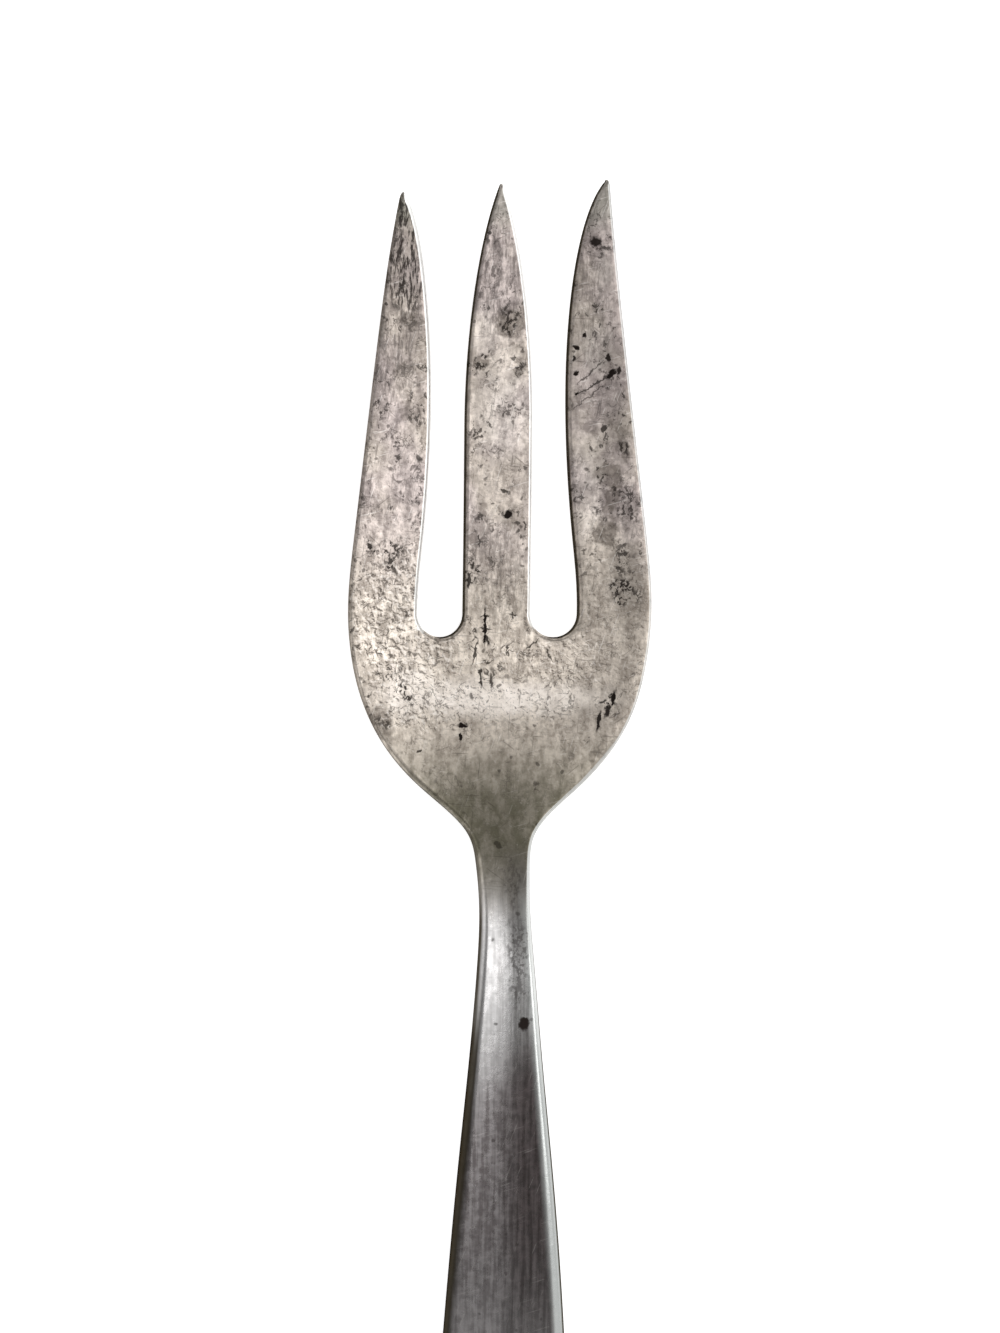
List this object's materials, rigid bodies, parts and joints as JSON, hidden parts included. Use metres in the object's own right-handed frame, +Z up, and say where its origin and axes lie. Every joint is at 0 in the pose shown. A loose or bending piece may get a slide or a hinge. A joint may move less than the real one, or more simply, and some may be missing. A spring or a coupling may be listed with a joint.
{
  "type": "cold meat fork",
  "caption": "Silver-plated serving fork with broad pointed tines, a dished palm, a narrow neck and a plain spatulate handle, stamped in one piece for lifting sliced cold meat.",
  "frame": {"origin": "on the table under the middle of the fork's outline, as the fork rests face up on its heel and the end of its handle", "axes": "+Y from the handle towards the tine points, +Z up out of the front face, +X to the right as the front is seen with the tines up"},
  "size_m": [0.0408, 0.2234, 0.0112],
  "materials": {
    "silver_plate": "satin"
  },
  "bodies": {
    "root": {"fork_body": "silver_plate"}
  },
  "joints": []
}
